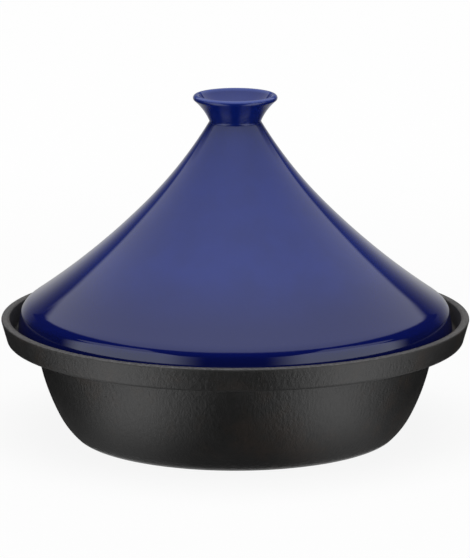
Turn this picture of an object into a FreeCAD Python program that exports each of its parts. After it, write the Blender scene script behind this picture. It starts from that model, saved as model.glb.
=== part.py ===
import FreeCAD, Part
import math
import os
import Sketcher
from FreeCAD import Vector

# Tagine pot: a cast-iron cooking base whose rim forms a seat, and a flared stoneware lid with a
# cup-shaped knob that stands loose in that seat. Both pieces are turned about the Z axis.
# The origin is the middle of the base's underside, lengths are millimetres and angles are degrees.

SIZES = {
    # Base: bowl
    "foot_diameter": 202.2,
    "foot_edge_radius": 3.0,
    "bowl_height": 61.2,
    "bowl_top_diameter": 255.0,
    "bowl_lower_radius": 51.7,
    "bowl_upper_radius": 137.7,
    "bowl_knee_height": 14.9,
    "bowl_wall": 4.8,
    "floor_thickness": 4.8,
    "inside_corner_radius": 25.0,
    # Base: rim, with the ledge that the lid stands on and the collar round it
    "rim_diameter": 300.0,
    "ledge_thickness": 4.7,
    "seat_depth": 10.4,
    "collar_lean": 15.4,
    "collar_wall": 5.3,
    "rim_edge_radius": 1.1,
    "rim_lower_radius": 2.0,
    "under_rim_radius": 3.0,
    "seat_corner_radius": 1.5,
    "mouth_edge_radius": 1.5,
    # Lid: skirt and flare
    "lid_clearance": 2.1,
    "lid_height": 153.7,
    "lid_wall": 6.5,
    "foot_width": 8.5,
    "foot_ring_radius": 1.2,
    "skirt_height": 14.9,
    "skirt_lean": 9.5,
    "shoulder_radius": 6.4,
    "flare_lower_radius": 496.0,
    "flare_upper_radius": 286.0,
    "flare_join_height": 83.4,
    "inside_shoulder_radius": 9.0,
    "ceiling_radius": 5.0,
    # Lid: knob
    "neck_diameter": 32.9,
    "neck_corner_radius": 1.6,
    "knob_height": 17.0,
    "knob_diameter": 53.8,
    "knob_flare_radius": 35.0,
    "lip_edge_radius": 2.0,
    "lip_width": 3.5,
    "cup_depth": 13.0,
    "cup_lip_radius": 1.3,
    "knob_floor": 12.5,
}

# Heights and radii that both pieces share
RIM_TOP = "(sizes.bowl_height + sizes.ledge_thickness + sizes.seat_depth)"
LEDGE = "(sizes.bowl_height + sizes.ledge_thickness)"
RIM_RADIUS = "(sizes.rim_diameter / 2)"
COLLAR_TOP_INSIDE = RIM_RADIUS + " - sizes.collar_wall / cos(sizes.collar_lean)"
SEAT_RADIUS = "(" + COLLAR_TOP_INSIDE + " - sizes.seat_depth * tan(sizes.collar_lean))"
LID_FOOT_RADIUS = "(" + SEAT_RADIUS + " - sizes.lid_clearance)"

# First guesses of where arcs end, as shares of a size close by. They start a section near its answer,
# and the sizes above then decide where its arcs end.
FOOT_EDGE_OUT, FOOT_EDGE_UP = 0.69, 0.28
KNEE_OUT = 0.47
INSIDE_KNEE_IN, INSIDE_KNEE_UP = 0.4, 0.56
INSIDE_CORNER_IN = 0.9
SHOULDER_IN, SHOULDER_UP = 0.43, 0.66
JOIN_OUT = 0.35
LIP_IN, LIP_DOWN = 0.29, 1.71

# Which side of its chord an arc swells to
RIGHT, LEFT = 1, -1

# How a section names its own axes, and the ends and centre of its lines and arcs
GROUND, AXIS = -1, -2
START, END, CENTRE = 1, 2, 3

FULL_TURN = 360.0
SAME_PLACE = 1e-4


def part_of(size, share):
    """A share of a size, as text for the sections."""
    return "(sizes.%s * %g)" % (size, share)


def make_sheet(doc):
    """Put every driving dimension in a cell of its own, with its name as the alias."""
    sheet = doc.addObject("Spreadsheet::Sheet", "sizes")
    for row, (name, value) in enumerate(SIZES.items(), start=1):
        sheet.set("A%d" % row, name.replace("_", " "))
        sheet.set("B%d" % row, str(value))
        sheet.setAlias("B%d" % row, name)
    doc.recompute()
    return sheet


class Section:
    """A closed half-section on a body's XZ plane: across is the radius, up is the height."""

    def __init__(self, body, name):
        plane = [item for item in body.Origin.OriginFeatures if item.Role == "XZ_Plane"][0]
        self.sketch = body.newObject("Sketcher::SketchObject", name)
        self.sketch.AttachmentSupport = [(plane, "")]
        self.sketch.MapMode = "FlatFace"
        self.pieces = {}
        self.order = []

    def value(self, expression):
        return float(self.sketch.evalExpression(expression))

    def point(self, across, up):
        return Vector(self.value(across), self.value(up), 0)

    def begin(self, across, up):
        self.pen = self.point(across, up)

    def line_to(self, name, across, up, smooth=False):
        end = self.point(across, up)
        self._add(name, Part.LineSegment(self.pen, end), True, end, smooth)

    def arc_to(self, name, across, up, radius, side, smooth=True):
        """Draw an arc to a first guess of its end, swelling to one side of its chord."""
        end = self.point(across, up)
        chord = end - self.pen
        right = Vector(chord.y, -chord.x, 0).normalize()
        half = chord.Length / 2
        depth = math.sqrt(max(self.value(radius) ** 2 - half ** 2, 0.0))
        centre = (self.pen + end) * 0.5 - right * side * depth
        circle = Part.Circle(centre, Vector(0, 0, 1), math.hypot(depth, half))
        anticlockwise = side == RIGHT
        ends = (self.pen, end) if anticlockwise else (end, self.pen)
        turned = [math.atan2(spot.y - centre.y, spot.x - centre.x) for spot in ends]
        self._add(name, Part.ArcOfCircle(circle, *turned), anticlockwise, end, smooth)

    def _add(self, name, curve, forward, end, smooth):
        index = self.sketch.addGeometry(curve, False)
        self.pieces[name] = (index, START, END) if forward else (index, END, START)
        if self.order:
            self._join(self.order[-1], name, smooth)
        self.order.append(name)
        self.pen = end

    def _join(self, before, after, smooth):
        first = self.pieces[before]
        second = self.pieces[after]
        kind = "Tangent" if smooth else "Coincident"
        self._hold(Sketcher.Constraint(kind, first[0], first[2], second[0], second[1]))

    def _hold(self, constraint, name=None, expression=None):
        index = self.sketch.addConstraint(constraint)
        if name:
            self.sketch.renameConstraint(index, name)
            self.sketch.setExpression("Constraints." + name, expression)

    def close(self):
        self._join(self.order[-1], self.order[0], False)

    def level(self, *names):
        for name in names:
            self._hold(Sketcher.Constraint("Horizontal", self.pieces[name][0]))

    def starts_on_axis(self, name):
        index, start, _ = self.pieces[name]
        self._hold(Sketcher.Constraint("PointOnObject", index, start, AXIS))

    def ends_on_axis(self, name):
        index, _, end = self.pieces[name]
        self._hold(Sketcher.Constraint("PointOnObject", index, end, AXIS))

    def ends_on_ground(self, name):
        index, _, end = self.pieces[name]
        self._hold(Sketcher.Constraint("PointOnObject", index, end, GROUND))

    def centre_on_axis(self, name):
        self._hold(Sketcher.Constraint("PointOnObject", self.pieces[name][0], CENTRE, AXIS))

    def parallel(self, first, second):
        self._hold(Sketcher.Constraint("Parallel", self.pieces[first][0], self.pieces[second][0]))

    def across(self, name, expression):
        """Hold how far the end of a piece lies from the axis."""
        index, _, end = self.pieces[name]
        distance = Sketcher.Constraint("DistanceX", GROUND, START, index, end, self.value(expression))
        self._hold(distance, name + "_across", expression)

    def up(self, name, expression):
        """Hold how high the end of a piece lies."""
        index, _, end = self.pieces[name]
        distance = Sketcher.Constraint("DistanceY", GROUND, START, index, end, self.value(expression))
        self._hold(distance, name + "_up", expression)

    def radius(self, name, expression):
        radius = Sketcher.Constraint("Radius", self.pieces[name][0], self.value(expression))
        self._hold(radius, name + "_radius", expression)

    def same_centre(self, first, second):
        indices = (self.pieces[first][0], CENTRE, self.pieces[second][0], CENTRE)
        self._hold(Sketcher.Constraint("Coincident", *indices))

    def corners(self, *names):
        """The solved places where the named pieces end."""
        found = []
        for name in names:
            index, _, end = self.pieces[name]
            curve = self.sketch.Geometry[index]
            found.append(curve.EndPoint if end == END else curve.StartPoint)
        return found


def turn(body, kind, name, section):
    """Revolve a section about the Z axis, as solid (Revolution) or as a cut (Groove)."""
    feature = body.newObject("PartDesign::" + kind, name)
    feature.Profile = section.sketch
    feature.ReferenceAxis = (section.sketch, ["V_Axis"])
    feature.Angle = FULL_TURN
    volume_before = body.Shape.Volume if kind == "Groove" else 0.0
    body.Document.recompute()
    if kind == "Groove" and body.Shape.Volume >= volume_before:
        raise RuntimeError("%s cut nothing" % name)


def round_edges(body, name, corners, radius):
    """Round the circular edges that pass through the given section corners."""
    base = body.Tip
    edges = []
    for number, edge in enumerate(base.Shape.Edges, start=1):
        if edge.Degenerated or not isinstance(edge.Curve, Part.Circle):
            continue
        for corner in corners:
            same_radius = abs(edge.Curve.Radius - corner.x) < SAME_PLACE
            same_height = abs(edge.Curve.Center.z - corner.y) < SAME_PLACE
            if same_radius and same_height:
                edges.append("Edge%d" % number)
    if len(edges) != len(corners):
        raise RuntimeError("%s: found %d edges for %d corners" % (name, len(edges), len(corners)))
    fillet = body.newObject("PartDesign::Fillet", name)
    fillet.Base = (base, edges)
    fillet.setExpression("Radius", "sizes." + radius)
    body.Document.recompute()


def make_body(doc, label):
    body = doc.addObject("PartDesign::Body", label)
    body.Label = label
    return body


def build_base(doc):
    """One iron casting: a bowl on a flat foot, under a rim whose ledge and collar seat the lid."""
    body = make_body(doc, "pot_base")
    half_foot = "sizes.foot_diameter / 2"
    half_bowl = "sizes.bowl_top_diameter / 2"
    throat = half_bowl + " - sizes.bowl_wall"
    collar_foot = RIM_RADIUS + " - (sizes.ledge_thickness + sizes.seat_depth) * tan(sizes.collar_lean)"
    inside_radius = "sizes.bowl_upper_radius - sizes.bowl_wall"

    cut = Section(body, "base_section")
    cut.begin("0", "sizes.floor_thickness")
    cut.line_to("axis", "0", "0")
    cut.line_to("foot", half_foot, "0")
    foot_edge_across = half_foot + " + " + part_of("foot_edge_radius", FOOT_EDGE_OUT)
    foot_edge_up = part_of("foot_edge_radius", FOOT_EDGE_UP)
    cut.arc_to("foot_edge", foot_edge_across, foot_edge_up, "sizes.foot_edge_radius", RIGHT)
    knee_across = "%s + (%s - %s) * %g" % (half_foot, half_bowl, half_foot, KNEE_OUT)
    cut.arc_to("lower_side", knee_across, "sizes.bowl_knee_height", "sizes.bowl_lower_radius", RIGHT)
    cut.arc_to("upper_side", half_bowl, "sizes.bowl_height", "sizes.bowl_upper_radius", RIGHT)
    cut.line_to("under_rim", collar_foot, "sizes.bowl_height")
    cut.line_to("flank", RIM_RADIUS, RIM_TOP)
    cut.line_to("rim_top", COLLAR_TOP_INSIDE, RIM_TOP)
    cut.line_to("seat_wall", SEAT_RADIUS, LEDGE)
    cut.line_to("ledge", throat, LEDGE)
    cut.line_to("throat", throat, "sizes.bowl_height")
    inside_knee = throat + " - " + part_of("inside_corner_radius", INSIDE_KNEE_IN)
    inside_knee_up = "sizes.floor_thickness + " + part_of("inside_corner_radius", INSIDE_KNEE_UP)
    cut.arc_to("inside_side", inside_knee, inside_knee_up, inside_radius, LEFT)
    inside_foot = inside_knee + " - " + part_of("inside_corner_radius", INSIDE_CORNER_IN)
    cut.arc_to("inside_corner", inside_foot, "sizes.floor_thickness", "sizes.inside_corner_radius", LEFT)
    cut.line_to("floor", "0", "sizes.floor_thickness", smooth=True)
    cut.close()

    cut.starts_on_axis("axis")
    cut.ends_on_axis("axis")
    cut.ends_on_ground("axis")
    cut.level("foot", "under_rim", "rim_top", "ledge", "floor")
    cut.across("foot", half_foot)
    cut.radius("foot_edge", "sizes.foot_edge_radius")
    cut.radius("lower_side", "sizes.bowl_lower_radius")
    cut.up("lower_side", "sizes.bowl_knee_height")
    cut.radius("upper_side", "sizes.bowl_upper_radius")
    cut.across("upper_side", half_bowl)
    cut.up("upper_side", "sizes.bowl_height")
    cut.across("under_rim", collar_foot)
    cut.across("flank", RIM_RADIUS)
    cut.up("flank", RIM_TOP)
    cut.across("rim_top", COLLAR_TOP_INSIDE)
    cut.across("seat_wall", SEAT_RADIUS)
    cut.up("seat_wall", LEDGE)
    cut.up("throat", "sizes.bowl_height")
    cut.same_centre("inside_side", "upper_side")
    cut.radius("inside_side", inside_radius)
    cut.radius("inside_corner", "sizes.inside_corner_radius")
    cut.up("floor", "sizes.floor_thickness")
    turn(body, "Revolution", "casting", cut)

    round_edges(body, "rim_edges", cut.corners("flank", "rim_top"), "rim_edge_radius")
    round_edges(body, "rim_lower_edge", cut.corners("under_rim"), "rim_lower_radius")
    round_edges(body, "under_rim_corner", cut.corners("upper_side"), "under_rim_radius")
    round_edges(body, "seat_corner", cut.corners("seat_wall"), "seat_corner_radius")
    round_edges(body, "mouth_edge", cut.corners("ledge"), "mouth_edge_radius")
    return body


def build_lid(doc):
    """One stoneware piece, drawn from its own foot: skirt, flared wall and hollow-topped knob."""
    body = make_body(doc, "lid")
    body.setExpression("Placement.Base.z", LEDGE)
    neck = "sizes.neck_diameter / 2"
    neck_up = "sizes.lid_height - sizes.knob_height"
    knob = "sizes.knob_diameter / 2"
    ceiling = "sizes.lid_height - sizes.cup_depth - sizes.knob_floor"
    foot_inside = LID_FOOT_RADIUS + " - sizes.foot_width"
    skirt_top = LID_FOOT_RADIUS + " - sizes.skirt_height * tan(sizes.skirt_lean)"
    shoulder_top = skirt_top + " - " + part_of("shoulder_radius", SHOULDER_IN)
    shoulder_up = "sizes.skirt_height + " + part_of("shoulder_radius", SHOULDER_UP)
    join_across = "%s + (%s - %s) * %g" % (neck, shoulder_top, neck, JOIN_OUT)
    inside_join_up = "sizes.flare_join_height - sizes.lid_wall"
    inside_upper_radius = "sizes.flare_upper_radius + sizes.lid_wall"
    inside_lower_radius = "sizes.flare_lower_radius + sizes.lid_wall"

    cut = Section(body, "lid_section")
    cut.begin("0", "sizes.lid_height")
    cut.line_to("axis", "0", ceiling)
    cut.line_to("ceiling", neck, ceiling)
    cut.arc_to("inside_upper", join_across, inside_join_up, inside_upper_radius, RIGHT, smooth=False)
    cut.arc_to("inside_lower", foot_inside, "sizes.skirt_height", inside_lower_radius, RIGHT)
    cut.line_to("inside_skirt", foot_inside, "0")
    cut.line_to("foot", LID_FOOT_RADIUS, "0")
    cut.line_to("skirt", skirt_top, "sizes.skirt_height")
    cut.arc_to("shoulder", shoulder_top, shoulder_up, "sizes.shoulder_radius", RIGHT)
    cut.arc_to("flare_lower", join_across, "sizes.flare_join_height", "sizes.flare_lower_radius", LEFT)
    cut.arc_to("flare_upper", neck, neck_up, "sizes.flare_upper_radius", LEFT)
    lip_across = knob + " - " + part_of("lip_edge_radius", LIP_IN)
    lip_up = "sizes.lid_height - " + part_of("lip_edge_radius", LIP_DOWN)
    cut.arc_to("knob_flare", lip_across, lip_up, "sizes.knob_flare_radius", LEFT, smooth=False)
    lip_inside = knob + " - sizes.lip_edge_radius"
    cut.arc_to("lip", lip_inside, "sizes.lid_height", "sizes.lip_edge_radius", RIGHT)
    cut.line_to("crest", "0", "sizes.lid_height", smooth=True)
    cut.close()

    cut.starts_on_axis("axis")
    cut.ends_on_axis("axis")
    cut.up("axis", ceiling)
    cut.level("ceiling", "foot", "crest")
    cut.radius("inside_upper", inside_upper_radius)
    cut.up("inside_upper", inside_join_up)
    cut.radius("inside_lower", inside_lower_radius)
    cut.same_centre("inside_lower", "flare_lower")
    cut.parallel("inside_skirt", "skirt")
    cut.across("inside_skirt", foot_inside)
    cut.ends_on_ground("inside_skirt")
    cut.across("foot", LID_FOOT_RADIUS)
    cut.across("skirt", skirt_top)
    cut.up("skirt", "sizes.skirt_height")
    cut.radius("shoulder", "sizes.shoulder_radius")
    cut.radius("flare_lower", "sizes.flare_lower_radius")
    cut.up("flare_lower", "sizes.flare_join_height")
    cut.radius("flare_upper", "sizes.flare_upper_radius")
    cut.across("flare_upper", neck)
    cut.up("flare_upper", neck_up)
    cut.radius("knob_flare", "sizes.knob_flare_radius")
    cut.radius("lip", "sizes.lip_edge_radius")
    cut.across("lip", lip_inside)
    cut.up("lip", "sizes.lid_height")
    turn(body, "Revolution", "thrown_shape", cut)

    cup = Section(body, "cup_section")
    cup_rim = knob + " - sizes.lip_width"
    cup_floor = "sizes.lid_height - sizes.cup_depth"
    cup.begin("0", "sizes.lid_height")
    cup.line_to("axis", "0", cup_floor)
    cup_radius = "((%s) ^ 2 + sizes.cup_depth ^ 2) / (2 * sizes.cup_depth)" % cup_rim
    cup.arc_to("cup_wall", cup_rim, "sizes.lid_height", cup_radius, RIGHT, smooth=False)
    cup.line_to("mouth", "0", "sizes.lid_height")
    cup.close()
    cup.starts_on_axis("axis")
    cup.ends_on_axis("axis")
    cup.up("axis", cup_floor)
    cup.centre_on_axis("cup_wall")
    cup.across("cup_wall", cup_rim)
    cup.up("cup_wall", "sizes.lid_height")
    cup.level("mouth")
    turn(body, "Groove", "knob_cup", cup)

    round_edges(body, "cup_lip", cup.corners("cup_wall"), "cup_lip_radius")
    round_edges(body, "neck_corner", cut.corners("flare_upper"), "neck_corner_radius")
    round_edges(body, "foot_ring", cut.corners("inside_skirt", "foot"), "foot_ring_radius")
    round_edges(body, "inside_shoulder", cut.corners("inside_lower"), "inside_shoulder_radius")
    round_edges(body, "ceiling_corner", cut.corners("ceiling"), "ceiling_radius")
    return body


def check_built(doc, bodies):
    """Stop before anything is written if a feature failed or a piece isn't one sound solid."""
    for item in doc.Objects:
        if "Invalid" in item.State or "Error" in item.State:
            raise RuntimeError("%s did not build: %s" % (item.Name, item.State))
    for body in bodies:
        shape = body.Shape
        if shape.isNull() or not shape.isValid() or len(shape.Solids) != 1:
            raise RuntimeError("%s is not one sound solid" % body.Label)


def main():
    doc = FreeCAD.newDocument("tagine_pot")
    make_sheet(doc)
    bodies = [build_base(doc), build_lid(doc)]
    doc.recompute()
    check_built(doc, bodies)
    os.makedirs("parts", exist_ok=True)
    for body in bodies:
        body.Shape.exportStep("parts/%s.step" % body.Label)
        box = body.Shape.optimalBoundingBox(False)
        print(body.Label, "volume %.0f mm3, from z %.2f to %.2f" % (body.Shape.Volume, box.ZMin, box.ZMax))


main()
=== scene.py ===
"""Tagine pot: the looks of the iron base and the glazed lid, built round the packed frame."""

import math

import bpy
from bpy.props import FloatProperty, FloatVectorProperty, IntProperty, PointerProperty
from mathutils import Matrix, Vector


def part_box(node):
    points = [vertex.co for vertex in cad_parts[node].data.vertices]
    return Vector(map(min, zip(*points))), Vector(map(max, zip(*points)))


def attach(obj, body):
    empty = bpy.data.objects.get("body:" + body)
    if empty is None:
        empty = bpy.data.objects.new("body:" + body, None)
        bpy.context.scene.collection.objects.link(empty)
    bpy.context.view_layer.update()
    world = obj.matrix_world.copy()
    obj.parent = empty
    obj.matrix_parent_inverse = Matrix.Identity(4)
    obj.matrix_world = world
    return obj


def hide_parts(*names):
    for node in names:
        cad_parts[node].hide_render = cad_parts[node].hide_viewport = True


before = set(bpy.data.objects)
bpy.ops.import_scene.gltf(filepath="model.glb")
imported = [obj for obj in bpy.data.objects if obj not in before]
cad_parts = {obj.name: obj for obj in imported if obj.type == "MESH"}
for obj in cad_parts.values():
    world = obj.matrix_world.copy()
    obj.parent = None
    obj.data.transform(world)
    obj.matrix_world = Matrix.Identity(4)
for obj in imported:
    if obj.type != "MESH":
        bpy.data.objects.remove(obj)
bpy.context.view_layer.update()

bl_info = {
    "name": "Tagine Pot",
    "version": (1, 0, 0),
    "blender": (4, 5, 0),
    "location": "3D View > Sidebar > Tagine",
    "description": "Turns an iron tagine base and its glazed lid, and sets them on a pale studio floor",
    "category": "Object",
}

# What the frame says: the two pieces' corners at rest, in metres.
BASE_LOW, BASE_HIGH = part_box("pot_base")
LID_LOW, LID_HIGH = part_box("lid")

MM = 0.001
UPRIGHT = math.pi / 2
HALF_TURN = math.pi
FULL_TURN = 2 * math.pi
ROOT_STEPS = 60

# Turning: the weld along the seam, and each piece's waviness: its lumps' size, its seed and where it
# sets in, as depths under the rim's top or heights over the lid's foot.
SEAM = 0.001 * MM
WAVE_DETAIL = 1.0
IRON_WAVE = 45.0 * MM
IRON_SEED = 3.0
IRON_WAVE_DEPTHS = (18.0 * MM, 28.0 * MM)
CLAY_WAVE = 38.0 * MM
CLAY_SEED = 11.0
CLAY_WAVE_HEIGHTS = (8.0 * MM, 24.0 * MM)
TURNING_TREE = "turned_piece"
TURNING_INPUTS = (
    ("Section", "NodeSocketGeometry"),
    ("Segments", "NodeSocketInt"),
    ("Unevenness", "NodeSocketFloat"),
    ("Waves", "NodeSocketFloat"),
    ("Seed", "NodeSocketFloat"),
    ("Still height", "NodeSocketFloat"),
    ("Wavy height", "NodeSocketFloat"),
    ("Seam", "NodeSocketFloat"),
    ("Material", "NodeSocketMaterial"),
)

# Iron's surface. A noise is lump size, detail and roughness; a relief is depth and strength; a span is
# the pair of values between which a mask rises; a drawn pattern is scaled along X, Y and Z; a sway is how
# far a noise moves the roughness. Depths are taken down from the rim's top, the spans of collar and
# painted crease shade from the collar's lower corner, and the span of the seat from the ledge.
NOISE_MIDDLE = 0.5
IRON_IOR = 1.75
IRON_DRAWN = (1.0, 1.0, 0.55)
IRON_MOTTLE = (22.0 * MM, 4.0, 0.6)
IRON_GRAIN = (2.2 * MM, 4.0, 0.7)
IRON_BLOOM = (40.0 * MM, 5.0, 0.7)
IRON_MARKS = (1.2 * MM, 3.0, 0.6)
IRON_PIT = 3.2 * MM
MARKS_DRAWN = (0.1, 0.1, 1.0)
RELIEF_GRAIN = 0.7
RELIEF_MOTTLE = 0.3
GRAIN_RELIEF = (1.0 * MM, 0.8)
MARKS_RELIEF = (0.5 * MM, 0.25)
PIT_RELIEF = (0.15 * MM, 0.35)
PIT_SPAN = (0.0, 0.34)
PATCH_MOTTLE = 0.6
PATCH_GRAIN = 0.4
PATCH_SPAN = (0.34, 0.66)
BLOOM_SPAN = (0.48, 0.68)
BLOOM_SHARE = 0.8
COLLAR_SPAN = (0.5 * MM, -0.5 * MM)
# Span and share of the painted shade in the crease under the collar.
CREASE_SHADE_SPAN = (2.2 * MM, 0.6 * MM)
CREASE_SHADE_SHARE = 0.8
SEAT_INWARD = (3.0 * MM, 4.5 * MM)
SEAT_SPAN = (2.6 * MM, 0.6 * MM)
# The collar's top face, paler in patches: the mask's depths, its grain span and its share.
EDGE_DEPTHS = (0.6 * MM, 0.1 * MM)
EDGE_GRAIN = (0.3, 0.7)
EDGE_SHARE = 0.6
GRAIN_SWAY = 0.16
MOTTLE_SWAY = 0.06
CREVICE_ROUGHNESS = 0.3
SEAT_ROUGHNESS = 0.3

# Glaze, in the same terms. Heights are taken up from the lid's foot, depths down from the knob's top.
GLAZE_IOR = 1.7
GLAZE_TINT = (0.8, 0.86, 1.0)
GLAZE_CLOUDS = (30.0 * MM, 3.0, 0.55)
GLAZE_FLECKS = (1.6 * MM, 2.0, 0.6)
GLAZE_RIPPLE = (14.0 * MM, 1.0, 0.5)
GLAZE_SKIN = (1.8 * MM, 2.0, 0.5)
CLAY_SPECKS = (2.5 * MM, 4.0, 0.7)
RIPPLE_RELIEF = (0.5 * MM, 0.035)
SKIN_RELIEF = (0.04 * MM, 0.025)
CLOUD_SPAN = (0.3, 0.7)
FLECK_SPAN = (0.66, 0.8)
FLECK_SHARE = 0.07
POOL_WANDER = 3.0 * MM
POOL_HEIGHTS = (60.0 * MM, 26.0 * MM)
# The lip's paler band, partly thinner glaze and partly a painted highlight: its depths and share.
LIP_DEPTHS = (2.2 * MM, 0.3 * MM)
LIP_THIN_AND_HIGHLIGHT_SHARE = 0.9
WIPE_WANDER = 0.9 * MM
WIPE_HEIGHTS = (2.0 * MM, 1.3 * MM)
CLOUD_SWAY = 0.02
CLAY_ROUGHNESS = 0.72

# Studio: lamps as name, place, size and radiance, and tones, where 1 is white.
LAMPS = (
    ("overhead_lamp", (0.0, -0.2, 1.7), 1.8, 2.8),
    ("left_lamp", (-1.5, -1.1, 0.9), 1.0, 1.5),
    ("right_lamp", (1.5, -1.1, 0.9), 1.0, 1.5),
)
WHITE = (1.0, 1.0, 1.0)
FLOOR_TONE = (0.86, 0.86, 0.86)
FLOOR_GLOW = (0.9, 0.985)
FLOOR_GLOW_SPAN = (0.2, 1.0)
FLOOR_GAP = 0.2 * MM

# Cards that only show in reflections. Their angles are taken from the camera's side, to the left and
# to the right alike, and their rises from the lid's foot, both in degrees. A card is made of flats, each
# about one sector step wide. Fades are shares of a card's height, and the other spans are in metres.
SECTOR_STEP = math.radians(6.0)
CARD_EDGE = 0.7
DARK = 0.02
SIDE_LIGHT = 1.2
BOX_ENDS = ((14.0, 38.0), (84.0, 101.0))
FLOOR_ENDS = ((10.0, 38.0), (40.0, 74.0))
FLOOR_SHARE = 0.92
FLOOR_SPREAD = 14.0
FLOOR_SPREAD_SPAN = (0.17, 0.28)
BACK_LIGHT = 0.5
BACK_LIGHT_STARTS = (130.0, 168.0)
BACK_LIGHT_TOP = (0.1, 0.85)
WALL_OUT = 1.6
WALL_TOPS = ((0.0, 51.0), (87.0, 50.0), (97.0, 40.0), (112.0, 34.0), (127.0, 29.0), (138.0, 22.5),
             (143.5, 23.8), (146.0, 25.6), (149.0, 27.5), (153.0, 29.0), (160.0, 32.0), (180.0, 32.0))
WALL_FADE = (0.78, 1.0)
BOX_OUT = 1.5
BOX_TOPS = ((12.0, 45.0), (70.0, 42.0), (82.0, 33.0), (92.0, 22.0), (100.0, 15.0), (105.0, 12.0))
BOX_FADE = (0.85, 1.0)
FLAG_OUT = 0.33
FLAG_LOWS = ((0.0, 14.0), (22.0, 14.0), (45.0, 39.0), (60.0, 37.0), (78.0, 30.0), (88.0, 23.0),
             (96.0, 20.5), (108.0, 17.5), (130.0, 16.5))
FLAG_TOPS = ((0.0, 54.8), (25.0, 52.2), (50.0, 48.2), (88.0, 44.3), (108.0, 37.5), (120.0, 30.5),
             (126.0, 27.5), (130.0, 26.0))
FLAG_FADE = (0.7, 1.0)
TENT_OUT = 2.6
TENT_HEIGHT = 2.6
TENT_TIP = 10.0 * MM
TENT_SPAN = (0.6, 2.4)
TENT_GREYS = (0.67, 1.0)
CARD_LIFT = 1.0 * MM
FOOT_SPAN = (0.104, 0.175)
FOOT_SHADE = 0.12
FOOT_GLOW = 0.1


def length(name, default, description):
    """A size in metres that a user may change."""
    return FloatProperty(name=name, description=description, default=default, unit="LENGTH", precision=4)


def angle(name, degrees, description):
    """An angle that a user may change."""
    return FloatProperty(name=name, description=description, default=math.radians(degrees),
                         unit="ROTATION")


def colour(name, default, description):
    """A colour that a user may change."""
    return FloatVectorProperty(name=name, description=description, default=default, size=3,
                               subtype="COLOR", min=0.0, max=1.0)


def share(name, default, description):
    """A part of one, or a strength."""
    return FloatProperty(name=name, description=description, default=default, subtype="FACTOR", min=0.0)


class BaseSizes(bpy.types.PropertyGroup):
    """Sizes of the iron base."""

    segments: IntProperty(name="Segments", description="Flats round the turn", default=288, min=24)
    rim_radius: length("Rim radius", 150.0 * MM, "Axis to the rim's outer edge")
    foot_radius: length("Foot radius", 101.1 * MM, "Axis to the end of the flat foot")
    foot_edge: length("Foot edge", 3.0 * MM, "Rounding at the foot")
    foot_slope: angle("Foot slope", 43.7, "Rise of the bowl where it leaves the foot")
    knee_radius: length("Knee rounding", 51.7 * MM, "Arc of the bowl's lower side")
    knee_slope: angle("Knee slope", 63.19, "Rise of the bowl where its two arcs meet")
    side_radius: length("Side rounding", 137.7 * MM, "Arc of the bowl's upper side")
    side_slope: angle("Side slope", 83.4, "Rise of the bowl just under the rim")
    wall: length("Wall", 4.8 * MM, "Thickness of the bowl's wall and floor")
    inside_corner: length("Inside corner", 25.0 * MM, "Rounding between floor and wall, inside")
    collar_height: length("Collar height", 15.1 * MM, "Rim's edge from its lower corner to its top")
    collar_lean: angle("Collar lean", 15.4, "Outward lean of the collar")
    collar_width: length("Collar width", 5.5 * MM, "Flat top of the collar")
    seat_depth: length("Seat depth", 10.4 * MM, "Top of the collar down to the ledge")
    mouth_radius: length("Mouth radius", 123.2 * MM, "Axis to the ledge's inner edge")
    rim_edge: length("Rim edge", 1.1 * MM, "Rounding of the collar's top edges")
    lower_edge: length("Lower edge", 2.0 * MM, "Rounding of the collar's lower corner")
    under_rim: length("Under rim", 3.0 * MM, "Fillet between bowl and rim")
    seat_corner: length("Seat corner", 1.5 * MM, "Fillet and rounding at the ledge")
    unevenness: length("Unevenness", 0.12 * MM, "Depth of the casting's slow waviness")


class LidSizes(bpy.types.PropertyGroup):
    """Sizes of the glazed lid."""

    segments: IntProperty(name="Segments", description="Flats round the turn", default=240, min=24)
    foot_radius: length("Foot radius", 139.54 * MM, "Axis to the foot ring's outer edge")
    foot_width: length("Foot width", 8.5 * MM, "Width of the foot ring")
    foot_edge: length("Foot edge", 1.2 * MM, "Rounding of the foot ring")
    skirt_height: length("Skirt height", 14.075 * MM, "Height of the straight skirt")
    skirt_lean: angle("Skirt lean", 9.5, "Inward lean of the skirt")
    shoulder: length("Shoulder", 5.5 * MM, "Rounding of the shoulder's lower half")
    shoulder_middle: angle("Shoulder middle", 31.5, "Inward lean where the shoulder's halves meet")
    upper_shoulder: length("Upper shoulder", 15.5 * MM, "Rounding of the shoulder's upper half")
    shoulder_lean: angle("Shoulder lean", 55.575, "Inward lean of the cone at the shoulder")
    lower_flare: length("Lower flare", 496.0 * MM, "Hollow arc of the lower cone")
    middle_lean: angle("Middle lean", 44.3, "Inward lean where the cone's arcs meet")
    upper_flare: length("Upper flare", 286.0 * MM, "Hollow arc of the upper cone")
    neck_radius: length("Neck radius", 16.45 * MM, "Axis to the neck under the knob")
    neck_corner: length("Neck corner", 1.6 * MM, "Fillet at the neck")
    knob_radius: length("Knob radius", 26.9 * MM, "Axis to the knob's lip")
    knob_flare: length("Knob flare", 35.0 * MM, "Hollow arc of the knob's side")
    lip_edge: length("Lip edge", 2.0 * MM, "Rounding of the lip outside")
    cup_radius: length("Cup radius", 23.4 * MM, "Axis to the cup's mouth")
    cup_depth: length("Cup depth", 13.0 * MM, "Depth of the hollow in the knob")
    cup_lip: length("Cup lip", 1.3 * MM, "Rounding of the lip inside")
    wall: length("Wall", 6.5 * MM, "Thickness of the cone")
    knob_floor: length("Knob floor", 12.5 * MM, "Clay between the cup and the space below it")
    inside_shoulder: length("Inside shoulder", 9.0 * MM, "Fillet between skirt and cone, inside")
    ceiling_edge: length("Ceiling edge", 5.0 * MM, "Fillet at the top of the space inside")
    unevenness: length("Unevenness", 0.14 * MM, "Depth of the clay's slow waviness")


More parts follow.
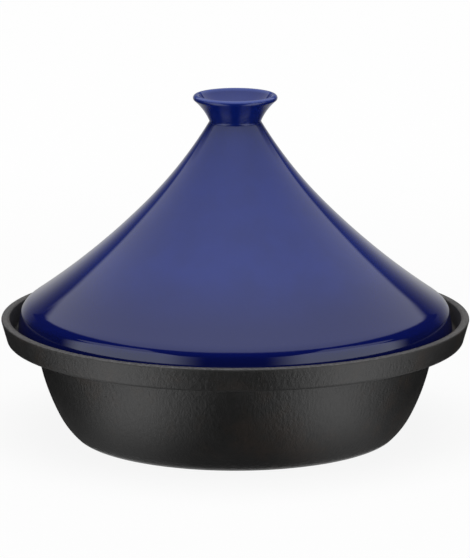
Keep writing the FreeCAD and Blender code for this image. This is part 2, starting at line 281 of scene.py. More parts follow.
class IronFinish(bpy.types.PropertyGroup):
    """Colours of the seasoned iron."""

    dark: colour("Dark iron", (0.0040, 0.0040, 0.0039), "Iron in its darker patches")
    light: colour("Light iron", (0.0110, 0.0107, 0.0104), "Iron in its paler patches")
    rust: colour("Rust bloom", (0.022, 0.014, 0.009), "Faint brown bloom")
    # A colour mixed in patches over the collar's top face, much paler than the iron.
    paler_collar_top: colour("Worn edge", (0.14, 0.135, 0.135), "Edges rubbed by use")
    roughness: share("Roughness", 0.45, "Middle roughness of the iron")


class GlazeFinish(bpy.types.PropertyGroup):
    """Colours of the glaze and of the bare clay."""

    deep: colour("Deep glaze", (0.004, 0.0135, 0.150), "Glaze in its darker clouds")
    bright: colour("Bright glaze", (0.005, 0.0165, 0.175), "Glaze over the open cone")
    pooled: colour("Pooled glaze", (0.002, 0.0055, 0.092), "Glaze that has run down on to the skirt")
    # Paler glaze, for the flecks, and on the lip both thinner glaze and a painted highlight.
    thin_glaze_and_highlight: colour("Thin glaze", (0.035, 0.062, 0.290), "Glaze where an edge has shed it")
    clay: colour("Bare clay", (0.52, 0.42, 0.31), "Stoneware under the foot ring")
    clay_speck: colour("Clay speck", (0.40, 0.31, 0.22), "Darker grains in the bare clay")
    roughness: share("Roughness", 0.055, "Roughness of the glaze")


class StageSettings(bpy.types.PropertyGroup):
    """Camera, floor and light."""

    camera_distance: length("Camera distance", 2.823, "Camera to the point that it looks at")
    camera_rise: angle("Camera rise", 12.33, "Camera's angle above the floor")
    target_height: length("Target height", 99.93 * MM, "Height of the point that the camera looks at")
    sideways: length("Sideways", -0.17 * MM, "Camera's small offset along X")
    lens: FloatProperty(name="Lens", description="Focal length", default=284.9, unit="CAMERA")
    floor_size: length("Floor size", 9.0, "Side of the square floor")
    ambient: share("Ambient", 0.15, "World's light on matt surfaces")


class Wire:
    """An output socket. Arithmetic on it adds the Math node that does the sum."""

    def __init__(self, bench, socket):
        self.bench = bench
        self.socket = socket

    def output(self, name):
        """Another output of the same node."""
        return Wire(self.bench, self.socket.node.outputs[name])

    def calculate(self, operation, first, second=0.0):
        """One Math node."""
        return self.bench.node("ShaderNodeMath", {"operation": operation}, {0: first, 1: second})

    def __add__(self, other):
        return self.calculate("ADD", self, other)

    def __radd__(self, other):
        return self.calculate("ADD", other, self)

    def __sub__(self, other):
        return self.calculate("SUBTRACT", self, other)

    def __rsub__(self, other):
        return self.calculate("SUBTRACT", other, self)

    def __mul__(self, other):
        return self.calculate("MULTIPLY", self, other)

    def __rmul__(self, other):
        return self.calculate("MULTIPLY", other, self)

    def __truediv__(self, other):
        return self.calculate("DIVIDE", self, other)

    def __mod__(self, other):
        return self.calculate("MODULO", self, other)

    def __floordiv__(self, other):
        return self.calculate("FLOOR", self / other)

    def __abs__(self):
        return self.calculate("ABSOLUTE", self)


class Bench:
    """A node tree while it is being wired."""

    def __init__(self, tree):
        self.tree = tree
        tree.nodes.clear()

    def node(self, kind, settings=None, sockets=None, output=0):
        """Add a node: its settings first, then the values or links of its sockets."""
        made = self.tree.nodes.new(kind)
        for name, value in (settings or {}).items():
            setattr(made, name, value)
        for key, value in (sockets or {}).items():
            if isinstance(value, Wire):
                self.tree.links.new(value.socket, made.inputs[key])
            else:
                made.inputs[key].default_value = value
        if not made.outputs:
            return None
        return Wire(self, made.outputs[output])

    def place(self):
        """The point on the piece, in the frame that it shares with the others."""
        return self.node("ShaderNodeTexCoord", output="Object")

    def height(self):
        """The point's height."""
        return self.node("ShaderNodeSeparateXYZ", {}, {"Vector": self.place()}, "Z")

    def out(self):
        """The point's distance from the pot's axis."""
        flat = self.scaled(self.place(), (1.0, 1.0, 0.0))
        return self.node("ShaderNodeVectorMath", {"operation": "LENGTH"}, {0: flat}, "Value")

    def scaled(self, vector, factors):
        """A vector with each of its three numbers multiplied."""
        return self.node("ShaderNodeVectorMath", {"operation": "MULTIPLY"}, {0: vector, 1: factors})

    def noise(self, vector, size, detail, roughness):
        """Noise from 0 to 1 whose lumps are about the size given."""
        return self.node("ShaderNodeTexNoise", {"noise_dimensions": "3D"},
                         {"Vector": vector, "Scale": 1.0 / size,
                          "Detail": detail, "Roughness": roughness})

    def between(self, value, low, high):
        """A soft step: 0 at low, 1 at high."""
        return self.node("ShaderNodeMapRange", {"interpolation_type": "SMOOTHSTEP"},
                         {"Value": value, "From Min": low, "From Max": high})

    def blend(self, factor, first, second):
        """A colour between two colours."""
        return self.node("ShaderNodeMix", {"data_type": "RGBA"},
                         {0: factor, 6: opaque(first), 7: opaque(second)}, output=2)

    def bump(self, height, distance, strength, under=None):
        """A normal pushed about by a height, over another one where there is one."""
        sockets = {"Height": height, "Distance": distance, "Strength": strength}
        if under:
            sockets["Normal"] = under
        return self.node("ShaderNodeBump", {}, sockets)


def opaque(tone):
    """A colour socket's value from three numbers; a wire passes as it is."""
    if isinstance(tone, Wire):
        return tone
    return (*tone, 1.0)


class Outline:
    """Half of a section: radius and height along a path that keeps the material on its left."""

    STEP = 2.0 * MM
    ARC_STEP = math.radians(7.0)

    def __init__(self, radius, height):
        self.points = [Vector((radius, height))]
        self.heading = 0.0
        self.roundings = {}

    @property
    def end(self):
        return self.points[-1]

    def line(self, radius, height):
        """A straight stretch."""
        start = self.end.copy()
        run = Vector((radius, height)) - start
        self.heading = heading_of(run)
        count = max(1, math.ceil(run.length / self.STEP))
        for index in range(1, count + 1):
            self.points.append(start + run * (index / count))

    def arc(self, radius, heading):
        """Turn on to a heading: to the left with a positive radius, to the right with a negative one."""
        start = self.end.copy()
        turn = heading - self.heading
        count = max(math.ceil(abs(radius * turn) / self.STEP), math.ceil(abs(turn) / self.ARC_STEP))
        first = self.heading
        for index in range(1, count + 1):
            now = first + turn * index / count
            run = Vector((math.sin(now) - math.sin(first), math.cos(first) - math.cos(now)))
            self.points.append(start + radius * run)
        self.heading = heading

    def arc_to(self, radius, height, curve):
        """An arc of a known radius to a point, hollow side on the left if curve is positive."""
        run = Vector((radius, height)) - self.end
        chord = heading_of(run)
        half = math.asin(run.length / 2 / curve)
        self.heading = chord - half
        self.arc(curve, chord + half)

    def corner(self, radius):
        """Round the corner at the path's end, whatever comes next."""
        self.roundings[len(self.points) - 1] = radius

    def finished(self):
        """The path's points with its corners rounded."""
        points = list(self.points)
        for spot in sorted(self.roundings, reverse=True):
            points = self.rounded(points, spot, self.roundings[spot])
        return points

    def rounded(self, points, spot, radius):
        """The points with one corner turned into an arc."""
        corner = points[spot]
        into = (corner - points[spot - 1]).normalized()
        away = (points[spot + 1] - corner).normalized()
        turn = math.atan2(into.x * away.y - into.y * away.x, into.dot(away))
        reach = radius * math.tan(abs(turn) / 2)
        before = [point for point in points[:spot] if (point - corner).length > reach]
        after = [point for point in points[spot + 1:] if (point - corner).length > reach]
        start = corner - into * reach
        bend = Outline(*start)
        bend.heading = heading_of(into)
        bend.arc(math.copysign(radius, turn), bend.heading + turn)
        return before + bend.points + after


def base_outline(sizes):
    """Section of the base: foot, bowl, rim, collar, seat and inside."""
    ground = BASE_LOW[2]
    rim_top = BASE_HIGH[2]
    under = rim_top - sizes.collar_height
    ledge = rim_top - sizes.seat_depth
    lean = math.tan(sizes.collar_lean)
    path = Outline(0.0, ground)
    path.line(sizes.foot_radius, ground)
    path.arc(sizes.foot_edge, sizes.foot_slope)
    path.arc(sizes.knee_radius, sizes.knee_slope)
    path.arc(sizes.side_radius, sizes.side_slope)

    # The side is brought up to the rim's underside, and the rim goes round to the ledge.
    side_end = Vector((path.end.x, under))
    path.points[-1] = side_end
    path.corner(sizes.under_rim)
    path.line(sizes.rim_radius - sizes.collar_height * lean, under)
    path.corner(sizes.lower_edge)
    path.line(sizes.rim_radius, rim_top)
    path.corner(sizes.rim_edge)
    path.line(sizes.rim_radius - sizes.collar_width, rim_top)
    path.corner(sizes.rim_edge)
    path.line(path.end.x - sizes.seat_depth * lean, ledge)
    path.corner(sizes.seat_corner)
    path.line(sizes.mouth_radius, ledge)
    path.corner(sizes.seat_corner)

    # The inside keeps the wall's thickness, then rounds into the floor.
    slope = sizes.side_slope
    outward = Vector((math.sin(slope), -math.cos(slope)))
    throat = side_end - sizes.wall * outward
    centre = side_end - sizes.side_radius * outward
    floor = ground + sizes.wall
    inside = sizes.side_radius - sizes.wall
    drop = centre.y - floor - sizes.inside_corner
    corner_slope = math.acos(drop / (inside - sizes.inside_corner))
    path.line(throat.x, throat.y)
    path.heading = slope + HALF_TURN
    path.arc(-inside, corner_slope + HALF_TURN)
    path.arc(-sizes.inside_corner, HALF_TURN)
    path.line(0.0, path.end.y)
    return path.finished()


def lid_outline(sizes):
    """Section of the lid: space inside, foot ring, skirt, cone, neck, knob and cup."""
    foot = LID_LOW[2]
    top = LID_HIGH[2]
    cup_floor = top - sizes.cup_depth
    ceiling = cup_floor - sizes.knob_floor
    skirt_heading = UPRIGHT + sizes.skirt_lean
    middle_heading = UPRIGHT + sizes.middle_lean
    skirt_run = sizes.skirt_height * math.tan(sizes.skirt_lean)

    # The outer cone, up to where its two arcs meet.
    cone = Outline(sizes.foot_radius, foot)
    cone.line(sizes.foot_radius - skirt_run, foot + sizes.skirt_height)
    cone.heading = skirt_heading
    cone.arc(sizes.shoulder, UPRIGHT + sizes.shoulder_middle)
    cone.arc(sizes.upper_shoulder, UPRIGHT + sizes.shoulder_lean)
    cone.arc(-sizes.lower_flare, middle_heading)
    outward = Vector((math.cos(sizes.middle_lean), math.sin(sizes.middle_lean)))
    middle = cone.end.copy()

    # Inside, the arcs have the same centres, one wall further out.
    inner_middle = middle - sizes.wall * outward
    upper = sizes.upper_flare + sizes.wall
    lower = sizes.lower_flare + sizes.wall
    ceiling_lean = math.asin(math.sin(sizes.middle_lean) - (ceiling - inner_middle.y) / upper)
    ceiling_radius = inner_middle.x + upper * (math.cos(sizes.middle_lean) - math.cos(ceiling_lean))
    inner_foot = sizes.foot_radius - sizes.foot_width

    def past_skirt(lean):
        """How far the inner cone stands outside the inner skirt, at one lean of the cone."""
        radius = inner_middle.x + lower * (math.cos(sizes.middle_lean) - math.cos(lean))
        height = inner_middle.y - lower * (math.sin(lean) - math.sin(sizes.middle_lean))
        return radius - inner_foot + (height - foot) * math.tan(sizes.skirt_lean)

    meeting_lean = root(past_skirt, sizes.middle_lean, sizes.shoulder_lean)

    path = Outline(0.0, ceiling)
    path.line(ceiling_radius, ceiling)
    path.corner(sizes.ceiling_edge)
    path.heading = ceiling_lean - UPRIGHT
    path.arc(upper, sizes.middle_lean - UPRIGHT)
    path.arc(lower, meeting_lean - UPRIGHT)
    path.corner(sizes.inside_shoulder)
    path.line(inner_foot, foot)
    path.corner(sizes.foot_edge)
    path.line(sizes.foot_radius, foot)
    path.corner(sizes.foot_edge)
    path.points += cone.points[1:]
    path.heading = middle_heading
    neck_inward = (middle.x - sizes.neck_radius) / sizes.upper_flare
    path.arc(-sizes.upper_flare, UPRIGHT + math.acos(math.cos(sizes.middle_lean) + neck_inward))
    path.corner(sizes.neck_corner)

    # The knob's side is a hollow arc that runs on into the round of the lip.
    lip_centre = Vector((sizes.knob_radius - sizes.lip_edge, top - sizes.lip_edge))
    flare_centre = far_corner(path.end, sizes.knob_flare, lip_centre, sizes.knob_flare + sizes.lip_edge)
    path.heading = heading_of(path.end - flare_centre) - UPRIGHT
    path.arc(-sizes.knob_flare, heading_of(lip_centre - flare_centre) - UPRIGHT)
    path.arc(sizes.lip_edge, HALF_TURN)
    path.line(sizes.cup_radius, top)
    path.corner(sizes.cup_lip)
    bowl = (sizes.cup_radius ** 2 + sizes.cup_depth ** 2) / (2 * sizes.cup_depth)
    path.arc_to(0.0, cup_floor, -bowl)
    return path.finished()


def heading_of(run):
    """The heading of a vector."""
    return math.atan2(run.y, run.x)


def far_corner(first, first_side, second, second_side):
    """Third corner of a triangle on two known ones, to the right of the way from first to second."""
    base = second - first
    forward = (first_side ** 2 - second_side ** 2 + base.length_squared) / (2 * base.length)
    aside = math.sqrt(first_side ** 2 - forward ** 2)
    ahead = base.normalized()
    return first + ahead * forward + Vector((ahead.y, -ahead.x)) * aside


def root(function, low, high):
    """Where a function that changes sign between low and high is nought."""
    for _ in range(ROOT_STEPS):
        middle = (low + high) / 2
        if function(low) * function(middle) <= 0.0:
            high = middle
        else:
            low = middle
    return (low + high) / 2


def turning_tree():
    """Geometry Nodes that turn a half section about Z and lay a slow waviness on it."""
    tree = bpy.data.node_groups.new(TURNING_TREE, "GeometryNodeTree")
    tree.interface.new_socket("Geometry", in_out="OUTPUT", socket_type="NodeSocketGeometry")
    for name, kind in TURNING_INPUTS:
        tree.interface.new_socket(name, in_out="INPUT", socket_type=kind)
    bench = Bench(tree)
    given = bench.node("NodeGroupInput")
    section = given.output("Section")
    segments = given.output("Segments")
    rows = bench.node("GeometryNodeAttributeDomainSize", {}, {"Geometry": section}, "Point Count")
    sheet = bench.node("GeometryNodeMeshGrid", {}, {"Vertices X": segments + 1, "Vertices Y": rows})

    # Each column of the sheet is the section, turned by its share of the circle.
    index = bench.node("GeometryNodeInputIndex")
    spot = bench.node("GeometryNodeSampleIndex", {"data_type": "FLOAT_VECTOR"},
                      {"Geometry": section, "Value": bench.node("GeometryNodeInputPosition"),
                       "Index": index % rows})
    turn = (index // rows) * FULL_TURN / segments
    turned = bench.node("ShaderNodeVectorRotate", {"rotation_type": "Z_AXIS"},
                        {"Vector": spot, "Angle": turn})
    body = bench.node("GeometryNodeSetPosition", {}, {"Geometry": sheet, "Position": turned})
    body = bench.node("GeometryNodeMergeByDistance", {},
                      {"Geometry": body, "Distance": given.output("Seam")})

    # The waviness only goes inwards, and fades out towards the seat.
    place = bench.node("GeometryNodeInputPosition")
    height = bench.node("ShaderNodeSeparateXYZ", {}, {"Vector": place}, "Z")
    waves = bench.node("ShaderNodeTexNoise", {"noise_dimensions": "4D"},
                       {"Vector": place, "W": given.output("Seed"), "Scale": given.output("Waves"),
                        "Detail": WAVE_DETAIL})
    fade = bench.between(height, given.output("Still height"), given.output("Wavy height"))
    depth = waves * fade * given.output("Unevenness")
    inward = bench.node("ShaderNodeVectorMath", {"operation": "SCALE"},
                        {"Vector": bench.node("GeometryNodeInputNormal"), "Scale": 0.0 - depth})
    body = bench.node("GeometryNodeSetPosition", {}, {"Geometry": body, "Offset": inward})
    body = bench.node("GeometryNodeSetShadeSmooth", {}, {"Geometry": body})
    body = bench.node("GeometryNodeRealizeInstances", {}, {"Geometry": body})
    body = bench.node("GeometryNodeSetMaterial", {},
                      {"Geometry": body, "Material": given.output("Material")})
    bench.node("NodeGroupOutput", {}, {"Geometry": body})
    return tree


def turned_piece(name, points, inputs):
    """A plain mesh object turned from a half section."""
    section = bpy.data.meshes.new(name + "_section")
    edges = [(index, index + 1) for index in range(len(points) - 1)]
    section.from_pydata([(point.x, 0.0, point.y) for point in points], edges, [])
    blank = bpy.data.objects.new(name + "_section", section)
    bpy.context.scene.collection.objects.link(blank)
    tree = bpy.data.node_groups.get(TURNING_TREE) or turning_tree()
    modifier = blank.modifiers.new("turning", "NODES")
    modifier.node_group = tree
    for label, value in inputs.items():
        modifier[tree.interface.items_tree[label].identifier] = value
    solid = blank.evaluated_get(bpy.context.evaluated_depsgraph_get())
    mesh = bpy.data.meshes.new_from_object(solid)
    mesh.name = name
    bpy.data.objects.remove(blank)
    bpy.data.meshes.remove(section)
    piece = bpy.data.objects.new(name, mesh)
    bpy.context.scene.collection.objects.link(piece)
    return piece


def iron_material(finish, sizes):
    """Seasoned cast iron: sand grain, pits, marks round the collar, mottling, bloom, a paler top to the
    collar and painted shade in the crease under it.
    """
    material = bpy.data.materials.new("seasoned_iron")
    material.use_nodes = True
    bench = Bench(material.node_tree)
    place = bench.place()
    depth = BASE_HIGH[2] - bench.height()
    inward = BASE_HIGH[0] - bench.out()
    drawn = bench.scaled(place, IRON_DRAWN)
    mottle = bench.noise(drawn, *IRON_MOTTLE)
    grain = bench.noise(drawn, *IRON_GRAIN)
    marks = bench.noise(bench.scaled(place, MARKS_DRAWN), *IRON_MARKS)
    pits = bench.node("ShaderNodeTexVoronoi", {"feature": "F1"},
                      {"Vector": place, "Scale": 1.0 / IRON_PIT})
    under_collar = depth - sizes.collar_height
    under_seat = depth - sizes.seat_depth
    collar = bench.between(under_collar, *COLLAR_SPAN)
    # Painted shade: a band round the collar's lower corner, darkened below and also made rougher.
    painted_crease_shade = bench.between(abs(under_collar), *CREASE_SHADE_SPAN)
    seat = bench.between(inward, *SEAT_INWARD) * bench.between(under_seat, *SEAT_SPAN)
    edge = bench.between(depth, *EDGE_DEPTHS) * bench.between(grain, *EDGE_GRAIN)
    bloom = bench.between(bench.noise(place, *IRON_BLOOM), *BLOOM_SPAN)

    patches = bench.between(mottle * PATCH_MOTTLE + grain * PATCH_GRAIN, *PATCH_SPAN)
    tone = bench.blend(patches, finish.dark, finish.light)
    tone = bench.blend(bloom * BLOOM_SHARE, tone, finish.rust)
    # The collar's top face is made paler in patches.
    tone = bench.blend(edge * EDGE_SHARE, tone, finish.paler_collar_top)
    # Painted shade: the crease under the collar is darkened towards the dark iron.
    tone = bench.blend(painted_crease_shade * CREASE_SHADE_SHARE, tone, finish.dark)
    rough = finish.roughness + GRAIN_SWAY * (grain - NOISE_MIDDLE)
    rough = rough + MOTTLE_SWAY * (mottle - NOISE_MIDDLE)
    rough = rough + CREVICE_ROUGHNESS * painted_crease_shade + SEAT_ROUGHNESS * seat
    relief = bench.bump(grain * RELIEF_GRAIN + mottle * RELIEF_MOTTLE, *GRAIN_RELIEF)
    relief = bench.bump(marks * collar, *MARKS_RELIEF, relief)
    relief = bench.bump(bench.between(pits, *PIT_SPAN), *PIT_RELIEF, relief)
    shader = bench.node("ShaderNodeBsdfPrincipled", {},
                        {"Base Color": tone, "Roughness": rough, "Normal": relief, "IOR": IRON_IOR})
    bench.node("ShaderNodeOutputMaterial", {}, {"Surface": shader})
    return material


def glaze_material(finish):
    """Navy glaze on stoneware: pooled on the skirt, thinner and with a painted highlight on the lip,
    wiped off the foot ring.
    """
    material = bpy.data.materials.new("navy_glaze")
    material.use_nodes = True
    bench = Bench(material.node_tree)
    place = bench.place()
    height = bench.height() - LID_LOW[2]
    depth = LID_HIGH[2] - bench.height()
    clouds = bench.noise(place, *GLAZE_CLOUDS)
    flecks = bench.between(bench.noise(place, *GLAZE_FLECKS), *FLECK_SPAN)
    pooled = bench.between(height + POOL_WANDER * clouds, *POOL_HEIGHTS)
    lip = bench.between(depth, *LIP_DEPTHS)
    wiped = bench.between(height + WIPE_WANDER * clouds, *WIPE_HEIGHTS)

    tone = bench.blend(bench.between(clouds, *CLOUD_SPAN), finish.deep, finish.bright)
    tone = bench.blend(pooled, tone, finish.pooled)
    # The lip is paler: partly thinner glaze, partly a painted highlight.
    tone = bench.blend(lip * LIP_THIN_AND_HIGHLIGHT_SHARE + flecks * FLECK_SHARE, tone, finish.thin_glaze_and_highlight)
    clay = bench.blend(bench.noise(place, *CLAY_SPECKS), finish.clay, finish.clay_speck)
    tone = bench.blend(wiped, tone, clay)
    rough = finish.roughness + CLOUD_SWAY * clouds + CLAY_ROUGHNESS * wiped
    ripple = bench.bump(bench.noise(place, *GLAZE_RIPPLE), *RIPPLE_RELIEF)
    skin = bench.bump(bench.noise(place, *GLAZE_SKIN), *SKIN_RELIEF, ripple)
    shader = bench.node("ShaderNodeBsdfPrincipled", {},
                        {"Base Color": tone, "Roughness": rough, "Normal": skin, "IOR": GLAZE_IOR,
                         "Specular Tint": opaque(GLAZE_TINT)})
    bench.node("ShaderNodeOutputMaterial", {}, {"Surface": shader})
    return material


def seen_directly(bench):
    """1 for rays that show the backdrop itself: straight, in a reflection or through glass."""
    path = bench.node("ShaderNodeLightPath")
    seen = path.output("Is Camera Ray") + path.output("Is Glossy Ray")
    seen = seen + path.output("Is Transmission Ray")
    return seen.calculate("MINIMUM", seen, 1.0)


def set_world(stage):
    """White to look at, softer as light on matt surfaces."""
    world = bpy.data.worlds.new("white_studio")
    world.use_nodes = True
    bench = Bench(world.node_tree)
    light = bench.node("ShaderNodeBackground", {}, {"Color": opaque(WHITE), "Strength": stage.ambient})
    view = bench.node("ShaderNodeBackground", {}, {"Color": opaque(WHITE), "Strength": 1.0})
    both = bench.node("ShaderNodeMixShader", {}, {0: seen_directly(bench), 1: light, 2: view})
    bench.node("ShaderNodeOutputWorld", {}, {"Surface": both})
    world.cycles.sampling_method = "NONE"
    bpy.context.scene.world = world


def floor_material():
    """A pale matt floor that is white to look at, but for a faint shadow near the pot."""
    material = bpy.data.materials.new("pale_floor")
    material.use_nodes = True
    material.cycles.emission_sampling = "NONE"
    bench = Bench(material.node_tree)
    near, far = FLOOR_GLOW
    glow = near + (far - near) * bench.between(bench.out(), *FLOOR_GLOW_SPAN)
    matt = bench.node("ShaderNodeBsdfDiffuse", {}, {"Color": opaque(FLOOR_TONE)})
    white = bench.node("ShaderNodeEmission", {}, {"Color": opaque(WHITE), "Strength": 1.0})
    both = bench.node("ShaderNodeMixShader", {}, {0: seen_directly(bench) * glow, 1: matt, 2: white})
    bench.node("ShaderNodeOutputMaterial", {}, {"Surface": both})
    return material


def turn_from_front(bench):
    """Angle round the axis from the camera's side, in degrees, to the left and to the right alike."""
    split = bench.node("ShaderNodeSeparateXYZ", {}, {"Vector": bench.place()})
    across = abs(split.output("X"))
    return across.calculate("ARCTAN2", across, 0.0 - split.output("Y")) * math.degrees(1.0)


def side_light(bench, span, spread=0.0):
    """Light from the left and the right that starts and ends softly, and may spread to the back."""
    turn = turn_from_front(bench)
    starts, stops = span
    return SIDE_LIGHT * bench.between(turn, *starts) * (1.0 - bench.between(turn - spread, *stops))


def edge_fade(bench, span):
    """From 0 to 1 towards a card's top edge."""
    across = bench.node("ShaderNodeTexCoord", output="UV")
    return bench.between(bench.node("ShaderNodeSeparateXYZ", {}, {"Vector": across}, "Y"), *span)


def box_light(bench):
    """Light of the boxes on either side."""
    return side_light(bench, BOX_ENDS) * (1.0 - edge_fade(bench, BOX_FADE))


def wall_light(bench):
    """Light on the wall: low down at the back, and along its top, where it meets the tent."""
    return back_light(bench) + CARD_EDGE * edge_fade(bench, WALL_FADE)


def flag_light(bench):
    """Light on the flag, only along its top."""
    return CARD_EDGE * edge_fade(bench, FLAG_FADE)


def back_light(bench):
    """Weaker light from low down behind."""
    low = 1.0 - bench.between(bench.height(), *BACK_LIGHT_TOP)
    return BACK_LIGHT * low * bench.between(turn_from_front(bench), *BACK_LIGHT_STARTS)


def floor_light(bench):
    """Light off the floor at either side and behind, down to a faint even glow at the foot."""
    out = bench.between(bench.out(), *FOOT_SPAN)
    shade = FOOT_SHADE + (1.0 - FOOT_SHADE) * out
    spread = FLOOR_SPREAD * bench.between(bench.out(), *FLOOR_SPREAD_SPAN)
    sides = FLOOR_SHARE * side_light(bench, FLOOR_ENDS, spread)
    return (sides + back_light(bench)) * shade + FOOT_GLOW * (1.0 - out)


def tent_light(bench):
    """Light from above, strongest overhead."""
    low, high = TENT_GREYS
    return low + (high - low) * bench.between(bench.height(), *TENT_SPAN)


def ribbon(name, rows, material):
    """A stage piece stretched between two rows of points."""
    first, second = rows
    count = len(first)
    faces = [(index, index + 1, count + index + 1, count + index) for index in range(count - 1)]
    mesh = bpy.data.meshes.new(name)
    mesh.from_pydata([*first, *second], [], faces)
    mesh.materials.append(material)
    across = mesh.uv_layers.new(name="across").uv
    for loop in mesh.loops:
        across[loop.index].vector = (0.0, loop.vertex_index // count)
    sheet = bpy.data.objects.new(name, mesh)
    bpy.context.scene.collection.objects.link(sheet)
    return sheet


def add_card(name, rows, light):
    """A card that only shows in reflections, and gives off what a light function wires."""
    material = bpy.data.materials.new(name)
    material.use_nodes = True
    material.cycles.emission_sampling = "NONE"
    bench = Bench(material.node_tree)
    glow = bench.node("ShaderNodeEmission", {},
                      {"Color": opaque(WHITE), "Strength": DARK + light(bench)})
    bench.node("ShaderNodeOutputMaterial", {}, {"Surface": glow})
    card = ribbon(name, rows, material)
    card.visible_camera = False
    card.visible_diffuse = False
    card.visible_shadow = False
    card.visible_transmission = False


def ring(first, last, out, height_at):
    """Points round the axis between two angles, at the height that a function of the angle gives."""
    count = math.ceil((last - first) / SECTOR_STEP)
    row = []
    for index in range(count + 1):
        turn = first + (last - first) * index / count
        row.append((out * math.sin(turn), -out * math.cos(turn), height_at(turn)))
    return row


def upright(first, last, out, tops, lows=None):
    """Rows of a card that stands round the pot, from the floor or from lows up to tops."""
    low = rising(out, lows) if lows else level(CARD_LIFT)
    return ring(first, last, out, low), ring(first, last, out, rising(out, tops))


def level(height):
    """A height that is the same all round."""
    return lambda turn: height


def rising(out, pairs):
    """A height that follows pairs of angle and rise."""
    def height_at(turn):
        rise = along(pairs, math.degrees(abs(turn)))
        return LID_LOW[2] + out * math.tan(math.radians(rise))

    return height_at


def along(pairs, place):
    """The value at a place on the line through pairs of place and value."""
    for (start, low), (end, high) in zip(pairs, pairs[1:]):
        if place <= end:
            return low + (high - low) * (place - start) / (end - start)
    return pairs[-1][1]


def ends(pairs):
    """First and last angle of pairs of angle and rise."""
    return math.radians(pairs[0][0]), math.radians(pairs[-1][0])


def add_cards():
    """A pale tent, a dark wall that is lit at its back, a dark flag, two light boxes and a floor card."""
    whole = (-HALF_TURN, HALF_TURN)
    tent = ring(*whole, TENT_OUT, level(0.0)), ring(*whole, TENT_TIP, level(TENT_HEIGHT))
    floor = [ring(*whole, out, level(CARD_LIFT)) for out in (FOOT_SPAN[0], WALL_OUT)]
    start, end = ends(BOX_TOPS)
    flag_end = ends(FLAG_TOPS)[1]
    add_card("tent", tent, tent_light)
    add_card("dark_wall", upright(*whole, WALL_OUT, WALL_TOPS), wall_light)
    add_card("dark_flag", upright(-flag_end, flag_end, FLAG_OUT, FLAG_TOPS, FLAG_LOWS), flag_light)
    add_card("left_box", upright(-end, -start, BOX_OUT, BOX_TOPS), box_light)
    add_card("right_box", upright(start, end, BOX_OUT, BOX_TOPS), box_light)
    add_card("floor_card", floor, floor_light)


def add_lamp(name, place, target, size, radiance):
    """A square soft lamp that gives off the radiance given, where 1 is white."""
    lamp = bpy.data.lights.new(name, "AREA")
    lamp.size = size
    lamp.energy = radiance * math.pi * size * size
    holder = bpy.data.objects.new(name, lamp)
    holder.location = place
    holder.visible_glossy = False
    holder.rotation_euler = (Vector(target) - Vector(place)).to_track_quat("-Z", "Y").to_euler()
    bpy.context.scene.collection.objects.link(holder)


def add_camera(stage):
    """The photograph's camera: low, far off and straight in front."""
    camera = bpy.data.cameras.new("camera")
    camera.lens = stage.lens
    holder = bpy.data.objects.new("camera", camera)
    away = stage.camera_distance * math.cos(stage.camera_rise)
    rise = stage.camera_distance * math.sin(stage.camera_rise)
    holder.location = (stage.sideways, -away, stage.target_height + rise)
    holder.rotation_euler = (UPRIGHT - stage.camera_rise, 0.0, 0.0)
    bpy.context.scene.collection.objects.link(holder)
    bpy.context.scene.camera = holder


class TAGINE_OT_base(bpy.types.Operator):
    """Turn the iron base"""

    bl_idname = "tagine.base"
    bl_label = "Iron base"

    def execute(self, context):
        sizes = context.scene.tagine_base
        still, wavy = (BASE_HIGH[2] - depth for depth in IRON_WAVE_DEPTHS)
        piece = turned_piece("iron_base", base_outline(sizes), {
            "Segments": sizes.segments,
            "Unevenness": sizes.unevenness,
            "Waves": 1.0 / IRON_WAVE,
            "Seed": IRON_SEED,
            "Still height": still,
            "Wavy height": wavy,
            "Seam": SEAM,
            "Material": iron_material(context.scene.tagine_iron, sizes),
        })
        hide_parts("pot_base")
        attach(piece, "base")
        return {"FINISHED"}


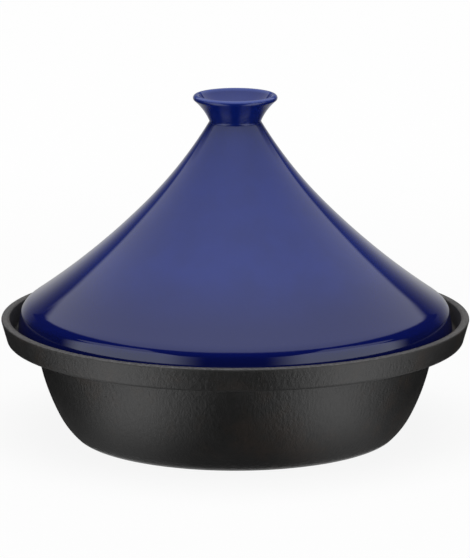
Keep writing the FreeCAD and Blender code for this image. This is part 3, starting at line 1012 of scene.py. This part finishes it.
class TAGINE_OT_lid(bpy.types.Operator):
    """Turn the glazed lid"""

    bl_idname = "tagine.lid"
    bl_label = "Glazed lid"

    def execute(self, context):
        sizes = context.scene.tagine_lid
        still, wavy = (LID_LOW[2] + height for height in CLAY_WAVE_HEIGHTS)
        piece = turned_piece("glazed_lid", lid_outline(sizes), {
            "Segments": sizes.segments,
            "Unevenness": sizes.unevenness,
            "Waves": 1.0 / CLAY_WAVE,
            "Seed": CLAY_SEED,
            "Still height": still,
            "Wavy height": wavy,
            "Seam": SEAM,
            "Material": glaze_material(context.scene.tagine_glaze),
        })
        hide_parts("lid")
        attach(piece, "lid")
        return {"FINISHED"}


class TAGINE_OT_stage(bpy.types.Operator):
    """Set the floor, the light and the camera"""

    bl_idname = "tagine.stage"
    bl_label = "Studio stage"

    def execute(self, context):
        stage = context.scene.tagine_stage
        half = stage.floor_size / 2
        ground = BASE_LOW[2] - FLOOR_GAP
        rows = [[(-half, edge, ground), (half, edge, ground)] for edge in (-half, half)]
        ribbon("floor", rows, floor_material())
        set_world(stage)
        add_cards()
        for name, place, size, radiance in LAMPS:
            add_lamp(name, place, (0.0, 0.0, stage.target_height), size, radiance)
        add_camera(stage)
        context.scene.view_settings.view_transform = "Standard"
        return {"FINISHED"}


class TAGINE_PT_panel(bpy.types.Panel):
    """Pieces and stage of the tagine pot"""

    bl_idname = "TAGINE_PT_panel"
    bl_label = "Tagine Pot"
    bl_space_type = "VIEW_3D"
    bl_region_type = "UI"
    bl_category = "Tagine"

    def draw(self, context):
        for operator in OPERATORS:
            self.layout.operator(operator.bl_idname)
        for name, group in GROUPS.items():
            box = self.layout.box()
            box.label(text=group.__doc__)
            for setting in group.__annotations__:
                box.prop(getattr(context.scene, name), setting)


OPERATORS = (TAGINE_OT_base, TAGINE_OT_lid, TAGINE_OT_stage)
GROUPS = {
    "tagine_base": BaseSizes,
    "tagine_lid": LidSizes,
    "tagine_iron": IronFinish,
    "tagine_glaze": GlazeFinish,
    "tagine_stage": StageSettings,
}
CLASSES = (*GROUPS.values(), *OPERATORS, TAGINE_PT_panel)


def register():
    for made in CLASSES:
        bpy.utils.register_class(made)
    for name, group in GROUPS.items():
        setattr(bpy.types.Scene, name, PointerProperty(type=group))


def unregister():
    for name in GROUPS:
        delattr(bpy.types.Scene, name)
    for made in reversed(CLASSES):
        bpy.utils.unregister_class(made)


def main():
    register()
    bpy.ops.tagine.base()
    bpy.ops.tagine.lid()
    bpy.ops.tagine.stage()


if __name__ == "__main__":
    main()
